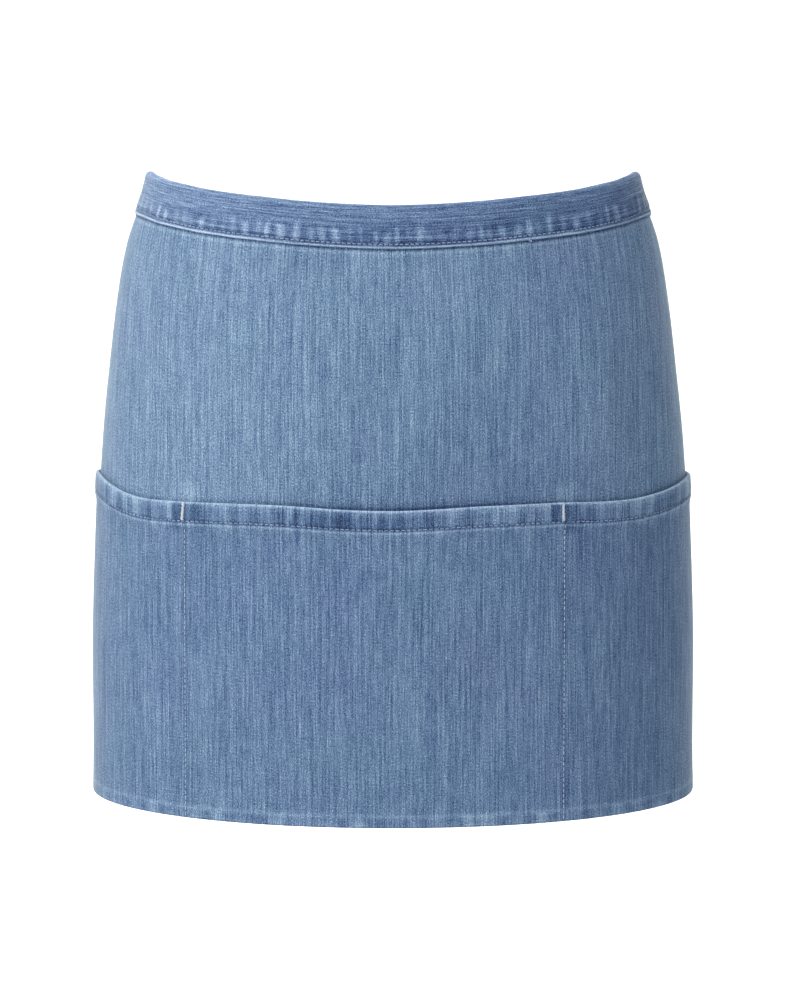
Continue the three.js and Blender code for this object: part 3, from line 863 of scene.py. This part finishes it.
def waistband():
    near = DENIM + SEWN_GAP
    far = near + BAND_DENIM
    leg = np.concatenate(
        [
            BAND_HEIGHT - np.array([0.0, 0.12, 0.35, 0.7, 1.1]),
            np.arange(BAND_HEIGHT - 1.5, BAND_HEIGHT - 4.2, -0.4),
            np.arange(BAND_HEIGHT - 4.8, BAND_FOLD + 0.3, -0.9),
        ]
    )
    end = APRON_WIDTH / 2 + BAND_OVERHANG
    across = np.linspace(-end, end, 521)[:, None]
    low = np.clip(1 - (BAND_HEIGHT - leg) / 1.1, 0, 1)
    rounded = (1 - np.sqrt(np.clip(1 - low**2, 0, 1))) * BAND_DENIM * 0.5
    outer, inner, drops = [], [], []
    relief = band_relief(across, leg[None, :])
    outer.append(apron_point(across, leg[None, :], far - rounded[None, :] + relief))
    inner.append(apron_point(across, leg[None, :], near + rounded[None, :] * 0.5 + 0 * relief))
    drops.append(leg)
    for step in range(9):
        turn = math.pi * step / 8
        for points, off in ((outer, far), (inner, near)):
            drop = BAND_FOLD - (off - HEM_MIDDLE) * math.sin(turn)
            lean = HEM_MIDDLE + (off - HEM_MIDDLE) * math.cos(turn)
            points.append(apron_point(across, np.full((1, 1), drop), lean))
        drops.append([BAND_FOLD - BAND_FOLD * math.sin(turn)])
    back_leg = np.linspace(BAND_FOLD + 2, BAND_HEIGHT, 12)
    outer.append(apron_point(across, back_leg[None, :], 2 * HEM_MIDDLE - far))
    inner.append(apron_point(across, back_leg[None, :], 2 * HEM_MIDDLE - near))
    drops.append(back_leg)
    outer, inner = np.concatenate(outer, 1), np.concatenate(inner, 1)
    drop = np.concatenate(drops)[None, :]
    front = np.zeros(drop.shape)
    front[:, : len(leg) + 5] = 1
    wear_and_painted_light = band_wear_and_painted_light(across, drop) * front
    mesh = sheet_mesh("waistband_cloth", outer, inner, across, drop, wear_and_painted_light, 75)
    piece = new_piece("waistband_cloth", mesh, band_denim, ["waistband"])
    return piece


# Stitches


def capsule(start, end, up, radius):
    """A short thread from start to end, arched a little towards up."""
    sides, rings = 6, [(-0.02, 0.35, -0.3), (0.1, 0.85, 0.35), (0.5, 1.0, 0.75), (0.9, 0.85, 0.35), (1.02, 0.35, -0.3)]
    along = end - start
    aside = np.cross(along, up)
    aside /= np.linalg.norm(aside)
    points = []
    for share, size, rise in rings:
        middle = start + along * share + up * radius * rise
        for k in range(sides):
            turn = 2 * math.pi * k / sides
            points.append(middle + radius * size * (aside * math.cos(turn) + up * math.sin(turn) * 0.8))
    faces = []
    for r in range(len(rings) - 1):
        for k in range(sides):
            a, b = r * sides + k, r * sides + (k + 1) % sides
            faces.append((a, b, b + sides, a + sides))
    last = (len(rings) - 1) * sides
    for first, order in ((0, (3, 2, 1, 0)), (0, (5, 4, 3, 0)), (last, (0, 1, 2, 3)), (last, (0, 3, 4, 5))):
        faces.append(tuple(first + k for k in order))
    return points, faces


def stitch_mesh(name, rows, radius=0.24, share=0.72):
    """rows are functions from a share of the row to a point and its outward direction, with a count."""
    points, faces = [], []
    for place, count in rows:
        for i in range(count):
            middle = i + 0.5 + chance.uniform(-0.05, 0.05)
            a, up = place((middle - share / 2) / count)
            b, _ = place((middle + share / 2) / count)
            p, f = capsule(a, b, up, radius * chance.uniform(0.9, 1.1))
            faces += [tuple(len(points) + k for k in face) for face in f]
            points += p
    return mesh_from(name, np.array(points), np.array(faces), sharp=180)


def stitched(row, off):
    """Places along a row of stitches on a face whose distance off the body is off(across, drop)."""

    def place(share):
        along = row.low + (row.high - row.low) * share
        across, drop = (along, row.place) if row.way == "across" else (row.place, along)
        value = off(across, drop)
        foot = apron_point(across, drop, value)
        return foot, apron_point(across, drop, value + 1) - foot

    return place, stitch_count(row)


def pocket_face(across, drop):
    """How far the pockets' outer face lies off the body."""
    eased = DENIM * (1 - smoothstep(drop, MOUTH_DROP + RIM_HEIGHT - 0.6, MOUTH_DROP + RIM_HEIGHT + EASE_BELOW_RIM))
    face = 2 * DENIM + SEWN_GAP + eased + gape(across, (drop - MOUTH_DROP) / POCKET_HEIGHT)
    return float(face + pocket_relief(np.array([across]), np.array([drop]))[0])


def band_face(across, drop):
    relief = band_relief(np.array([across]), np.array([drop]))[0]
    return DENIM + SEWN_GAP + BAND_DENIM + float(relief)


def panel_face(across, drop):
    return DENIM + float(panel_folds(across, drop))


def stitching():
    for name, rows, face, thread, radius, raised in (
        ("band_stitching", BAND_ROWS, band_face, seam_thread, 0.25, 0.14),
        ("rim_stitching", RIM_ROWS, pocket_face, seam_thread, 0.21, 0.1),
        ("pocket_stitching", POCKET_ROWS, pocket_face, pocket_thread, 0.27, 0.27),
        ("side_hem_stitching", SIDE_HEM_ROWS, panel_face, seam_thread, 0.24, 0.12),
    ):
        off = lambda across, drop, face=face, raised=raised: face(across, drop) + raised
        mesh = stitch_mesh(name, [stitched(row, off) for row in rows], radius)
        new_piece(name, mesh, thread)


def loose_end():
    """A short end of thread that stands out under the waistband's lower edge."""
    points, faces = [], []
    places = [(LOOSE_ACROSS + dx, BAND_HEIGHT + dy) for dx, dy in ((-0.5, -0.5), (0.2, 0.4), (1.1, 0.8))]
    at = [apron_point(across, drop, DENIM + 0.9) for across, drop in places]
    up = apron_point(LOOSE_ACROSS, BAND_HEIGHT, DENIM + 1) - apron_point(LOOSE_ACROSS, BAND_HEIGHT, DENIM)
    for start, end in zip(at, at[1:]):
        p, f = capsule(start, end, up, 0.5)
        faces += [tuple(len(points) + k for k in face) for face in f]
        points += p
    mesh = mesh_from("loose_thread_end", np.array(points), np.array(faces), sharp=180)
    new_piece("loose_thread_end", mesh, pocket_thread)


# Bar tacks


def bar_tack(side):
    """Thread wound across a short bar, with wraps that lie close together."""
    length, width, wraps = 9.4, 1.65, 26
    lean = 0.05 * (1 - side)
    points, faces = [], []
    top = MOUTH_DROP + 0.2
    for i in range(wraps):
        drop = top + length * (i + 0.5) / wraps
        across = side * SEAM + 0.1 * math.sin(i * 0.9 * side) + lean * (0.5 - i / wraps) * length + chance.uniform(-0.1, 0.1)
        half = width / 2 * (1 + chance.uniform(-0.25, 0.15))
        face = pocket_face(side * SEAM, max(drop, MOUTH_DROP + 1.3)) + 0.1
        skew = 0.16 * (-1) ** i + chance.uniform(-0.08, 0.08)
        a = apron_point(across - half, drop - skew, face)
        b = apron_point(across + half, drop + skew, face)
        up = apron_point(across, drop, face + 1) - apron_point(across, drop, face)
        p, f = capsule(a, b, up * 1.6, 0.24)
        faces += [tuple(len(points) + k for k in g) for g in f]
        points += p
    name = "bar_tack_" + ("left" if side < 0 else "right")
    mesh = mesh_from(name + "_thread", np.array(points), np.array(faces), sharp=180)
    new_piece(name + "_thread", mesh, tack_thread, [name])


# Ties

TIE_DROP = BAND_FOLD + (BAND_HEIGHT - BAND_FOLD) / 2
KNOT_LEVEL = -KNOT_BELOW_WAIST
KNOT_GIRTH = 2 * girth(KNOT_LEVEL)
KNOT_ROUND = KNOT_GIRTH / 2 + TURNED
KNOT_OFF = KNOT_DEPTH / 2 - DENIM
KNOT_AT, KNOT_OUT = (v[()] for v in body_point(angle_at(KNOT_ROUND, KNOT_LEVEL), KNOT_LEVEL))
KNOT_ASIDE = np.cross([0, 0, 1], KNOT_OUT)
KNOT_ASIDE /= np.linalg.norm(KNOT_ASIDE)

STRIP_SHARES = np.array([0.5, 0.495, 0.48, 0.45, 0.4, 0.33, 0.22, 0.1, 0, -0.1, -0.22, -0.33, -0.4, -0.45, -0.48, -0.495, -0.5])


def strip_section(thick):
    """Across a folded strip: offs of its two faces, rounded at the folds and dented at its seams."""
    edge = np.clip((np.abs(STRIP_SHARES) - 0.45) / 0.05, 0, 1)
    half = thick / 2 * np.sqrt(np.clip(1 - edge**2, 0.02, 1))
    dent = 0.12 * bump(np.abs(STRIP_SHARES), 0.4, 0.025)
    return half - dent


def strip_fade(count, length, generator):
    along = np.linspace(0, length, count)[:, None]
    edge = bump(np.abs(STRIP_SHARES), 0.5, 0.03)[None, :]
    worn = 0.5 * wander(along, 6.0, generator) * bump(np.abs(STRIP_SHARES), 0.45, 0.08)[None, :]
    return 0.7 * edge + worn


def tie(side):
    """A tie from inside the waistband's end round to the knot."""
    start = side * (APRON_WIDTH / 2 + TIE_TUCK)
    band_end = side * (APRON_WIDTH / 2 + BAND_OVERHANG)
    knot_round = KNOT_ROUND if side > 0 else KNOT_ROUND - KNOT_GIRTH
    knot_angle = float(angle_at(knot_round - side * (KNOT_WIDTH / 2 + KNOT_CLEAR), KNOT_LEVEL))
    steps = 44
    section = strip_section(TIE_THICK)
    across = side * STRIP_SHARES[::-1] * TIE_WIDTH
    drops = TIE_DROP - across
    end_level = lift(band_end, drops) - drops
    end_angle = angle_at(round_body(band_end, drops), end_level)
    outer, inner = [], []
    for i in range(steps + 1):
        out = max(i - 1, 0) / (steps - 1)
        middle = HEM_MIDDLE + (KNOT_OFF / 2 - HEM_MIDDLE) * float(smoothstep(out, 0.1, 1))
        middle += 0.35 * out * (1 - out) * math.sin(9 * out)
        near_knot = float(smoothstep(out, 0.55, 1.0))
        cup = 0.9 * near_knot * np.cos(math.pi * STRIP_SHARES * 2)
        pleat = 0.35 * near_knot * np.cos(math.pi * STRIP_SHARES * 7)
        rise = across * (1 - (1 - TIE_NARROWING) * near_knot)
        for points, face in ((outer, section), (inner, -section)):
            off = middle + face + cup + pleat
            if i == 0:
                points.append(apron_point(start, drops, off))
            else:
                angle = end_angle + (knot_angle - end_angle) * out
                level = end_level + (KNOT_LEVEL + rise - end_level) * out
                at, outward = body_point(angle, level)
                points.append(at + outward * off[:, None])
    outer, inner = np.array(outer), np.array(inner)
    middle_line = outer[:, len(STRIP_SHARES) // 2]
    length = float(np.linalg.norm(np.diff(middle_line, axis=0), axis=1).sum())
    along = np.linspace(0, length, steps + 1)[:, None]
    drop = across[None, :]
    name = "tie_" + ("left" if side < 0 else "right")
    mesh = sheet_mesh(name + "_cloth", outer, inner, drop, along, strip_fade(steps + 1, length, chance), 80)
    mesh.attributes["inside"].data.foreach_set("value", np.zeros(len(mesh.vertices)))
    piece = new_piece(name + "_cloth", mesh, tie_denim, [name])


def tie_tail(side):
    steps = 60
    shares = np.linspace(0, 1, steps + 1)
    aside_of, out_of = smooth_curve(TAIL_ALONG, TAIL_ASIDE), smooth_curve(TAIL_ALONG, TAIL_OUT[side])
    twist_of = smooth_curve(TAIL_ALONG, TAIL_TWIST)
    top = KNOT_LEVEL - KNOT_DROP / 2 - KNOT_CLEAR
    length = TAIL_LENGTH + SEWN_GAP - KNOT_CLEAR
    section = strip_section(TIE_THICK)
    lean = math.atan2(TAIL_SPREAD, TAIL_LENGTH) * side
    down = np.array([math.sin(lean), 0, -math.cos(lean)])
    outer, inner = [], []
    for share in shares:
        z = top - share * length
        x = KNOT_AT[0] + side * float(aside_of(share)) * TAIL_SPREAD
        at, outward = (v[()] for v in body_point(math.pi - math.asin(x / float(body_at(z)[0])), z))
        wave = 0.8 * math.sin(7.5 * share + side) * share
        middle = at + outward * (float(out_of(share)) * KNOT_DEPTH + wave)
        twist = math.radians(side * float(twist_of(share)))
        facing = outward * math.cos(twist) + np.cross(down, outward) * math.sin(twist)
        facing /= np.linalg.norm(facing)
        aside = np.cross(down, facing)
        aside /= np.linalg.norm(aside)
        width = TIE_WIDTH * (TAIL_NARROWING + (1 - TAIL_NARROWING) * float(smoothstep(share, 0, 0.14)))
        cup = 1.4 * float(smoothstep(share, 0, 0.06) - smoothstep(share, 0, 0.3)) * np.cos(math.pi * STRIP_SHARES * 2)
        end = math.sqrt(max(1 - max(1 - (1 - share) * length, 0) ** 2, 0.05))
        for points, face in ((outer, section * end), (inner, -section * end)):
            points.append(middle + aside * (STRIP_SHARES * width)[:, None] + facing * (face + cup)[:, None])
    drop = (STRIP_SHARES * TIE_WIDTH)[None, :]
    along = (shares * length)[:, None]
    name = "tie_tail_" + ("left" if side < 0 else "right")
    mesh = sheet_mesh(
        name + "_cloth", np.array(outer), np.array(inner), drop, along, strip_fade(steps + 1, length, chance), 80
    )
    mesh.attributes["inside"].data.foreach_set("value", np.zeros(len(mesh.vertices)))
    piece = new_piece(name + "_cloth", mesh, tie_denim, [name])


def knot_point(aside, up, out):
    return KNOT_AT + KNOT_OUT * (KNOT_OFF + out) + KNOT_ASIDE * aside + np.array([0, 0, up])


def ring_faces(rings, sides, closed):
    """Faces between rings of points, joined end to end where closed."""
    k = np.arange(sides)
    following = (k + 1) % sides
    blocks = []
    for r in range(rings if closed else rings - 1):
        here, there = r * sides, (r + 1) % rings * sides
        blocks.append(np.stack([here + k, here + following, there + following, there + k], -1))
    return np.concatenate(blocks)


def knot_bundle():
    """The two ties' ends gathered into pleats, where they go through the knot."""
    rings, sides = 48, 96
    points, columns = [], []
    for i in range(rings):
        x = -math.cos(math.pi * i / (rings - 1))
        shut = math.sqrt(max(1 - abs(x) ** 90, 0.0))
        flat = float(smoothstep(abs(x), 0.62, 1.0))
        for k in range(sides):
            turn = 2 * math.pi * k / sides
            pleat = math.cos(9 * turn + 1.4 * x)
            swell = 1 - 0.25 * math.exp(-((x / 0.45) ** 2)) + 0.06 * pleat
            height = KNOT_DROP * (0.33 + 0.03 * math.cos(2 * x)) * swell
            depth = KNOT_DEPTH * (0.27 + 0.12 * (1 - x * x)) * swell
            height += (TIE_WIDTH * TIE_NARROWING / 2 - height) * flat
            depth += (TIE_THICK * 0.6 - depth) * flat
            up, out = height * shut * math.sin(turn), depth * shut * math.cos(turn)
            cup = 0.9 * math.cos(math.pi * up / height) - KNOT_OFF / 2
            points.append(knot_point(x * KNOT_WIDTH / 2, up, out + cup * flat))
            # Painted shade where the bundle tucks under the wrap.
            tucked = math.exp(-(((abs(x) - 0.45) / 0.12) ** 2))
            columns.append((turn * 9, x * 14, 0.3 * pleat - 0.6 * tucked))
    return np.array(points), ring_faces(rings, sides, False), np.array(columns)


def knot_wrap():
    """The strip wound once round the bundle's middle, slanting across it."""
    rings, width, thick = 96, 18.5, 2.3
    around = np.linspace(0, 2 * math.pi, 41)[:-1]
    share = np.cos(around) / 2
    face = np.sign(np.sin(around)) * np.abs(np.sin(around)) ** 0.45
    points, columns = [], []
    for i in range(rings):
        turn = 2 * math.pi * i / rings
        cos, sin = math.cos(turn), math.sin(turn)
        squared = (abs(cos) ** 2.6 + abs(sin) ** 2.6) ** (-1 / 2.6)
        pleats = 0.3 * np.cos(2 * math.pi * (2.6 * share + 0.1 * math.sin(2 * turn))) * (np.abs(share) < 0.45)
        reach = thick / 2 * face + pleats * (face > 0) - 0.8 * np.abs(2 * share) ** 3
        up = (KNOT_DROP / 2 - thick / 2 - 0.3 + reach) * sin * squared
        out = (KNOT_DEPTH / 2 - thick / 2 - 0.5 + reach) * cos * squared
        aside = share * width * (1 - 0.12 * cos) + 1.4 * sin + 0.8 * cos
        for k in range(len(around)):
            points.append(knot_point(aside[k], up[k], out[k]))
            edge = math.exp(-(((abs(share[k]) - 0.49) / 0.04) ** 2))
            columns.append((share[k] * width, turn * 9, 0.8 * edge + 0.5 * pleats[k]))
    return np.array(points), ring_faces(rings, len(around), True), np.array(columns)


def facing_out(points, faces):
    """The faces, turned over if they face inwards."""
    a, b, c, d = (points[faces[:, k]] - points.mean(0) for k in range(4))
    volume = np.sum(a * np.cross(b, c)) + np.sum(a * np.cross(c, d))
    return faces if volume > 0 else faces[:, ::-1]


def knot():
    points, faces, columns = knot_bundle()
    wrap_points, wrap_faces, wrap_columns = knot_wrap()
    faces, wrap_faces = facing_out(points, faces), facing_out(wrap_points, wrap_faces)
    columns = np.concatenate([columns, wrap_columns])
    mesh = mesh_from(
        "tie_knot_cloth",
        np.concatenate([points, wrap_points]),
        np.concatenate([faces, wrap_faces + len(points)]),
        columns[:, :2],
        {"wear_and_painted_light": columns[:, 2], "inside": np.zeros(len(columns))},
        80,
    )
    new_piece("tie_knot_cloth", mesh, tie_denim, ["tie_knot"])


# Camera, light and stage


def camera():
    data = bpy.data.cameras.new("camera")
    data.sensor_fit = "AUTO"
    data.sensor_width = 36.0
    data.lens = 36.0 * 4582.68 / 1000
    view = bpy.data.objects.new("camera", data)
    bpy.context.scene.collection.objects.link(view)
    pitch = math.radians(8.3806)
    distance, target = 2.506, -0.16835
    view.location = (0, -distance * math.cos(pitch), target + distance * math.sin(pitch))
    view.rotation_euler = (math.pi / 2 - pitch, 0, 0)
    bpy.context.scene.camera = view


def area_light(name, place, target, size, power, colour=(1, 1, 1)):
    data = bpy.data.lights.new(name, "AREA")
    data.shape = "RECTANGLE"
    data.size, data.size_y = size
    data.energy = power
    data.color = colour
    lamp = bpy.data.objects.new(name, data)
    lamp.location = place
    lamp.rotation_euler = (Vector(target) - Vector(place)).to_track_quat("-Z", "Y").to_euler()
    bpy.context.scene.collection.objects.link(lamp)


def studio():
    scene = bpy.context.scene
    scene.view_settings.view_transform = "Standard"
    world = bpy.data.worlds.new("studio")
    world.use_nodes = True
    world.node_tree.nodes["Background"].inputs[0].default_value = (0.87, 0.95, 1.0, 1)
    world.node_tree.nodes["Background"].inputs[1].default_value = 0.425
    scene.world = world
    area_light("key", (-2.3, -2.55, 1.9), (0, 0, -0.15), (1.4, 1.6), 143, (1.0, 0.925, 0.81))
    area_light("top", (-0.3, -0.5, 2.4), (0, 0, -0.1), (2.0, 2.0), 42)
    area_light("backdrop_light", (0, 2.6, 2.6), (0, 4.0, -0.5), (5.0, 1.5), 190)


def stage():
    """A pale floor that sweeps up into a backdrop."""
    floor, reach, rise, radius = -950.0, 6000.0, 5200.0, 1500.0
    profile = [(-5000.0, floor), (reach - radius, floor)]
    for step in range(1, 25):
        turn = math.pi / 2 * step / 24
        profile.append((reach - radius + radius * math.sin(turn), floor + radius * (1 - math.cos(turn))))
    profile.append((reach, floor + rise))
    points = [(x, y, z) for x in (-6000.0, 6000.0) for y, z in profile]
    count = len(profile)
    faces = [(k, count + k, count + k + 1, k + 1) for k in range(count - 1)]
    mesh = mesh_from("stage", np.array(points), np.array(faces), sharp=180)
    n = Nodes("stage_paint")
    at = n.add("ShaderNodeTexCoord").outputs["Object"]
    split = n.add("ShaderNodeSeparateXYZ")
    n.feed(split.inputs[0], at)
    value = n.math("MULTIPLY_ADD", n.noise(split.outputs[0], split.outputs[1], 0.0), 0.02, 0.5)
    n.feed(n.shader.inputs["Base Color"], n.ramp(value, [(0.0, (250, 250, 250)), (1.0, (255, 255, 255))]))
    n.shader.inputs["Roughness"].default_value = 0.95
    n.shader.inputs["Specular IOR Level"].default_value = 0.1
    sweep = bpy.data.objects.new("stage", mesh)
    mesh.materials.append(n.material)
    bpy.context.scene.collection.objects.link(sweep)


camera()
front_panel()
pocket_panel()
waistband()
stitching()
loose_end()
for side in (-1, 1):
    bar_tack(side)
    tie(side)
    tie_tail(side)
knot()
studio()
stage()
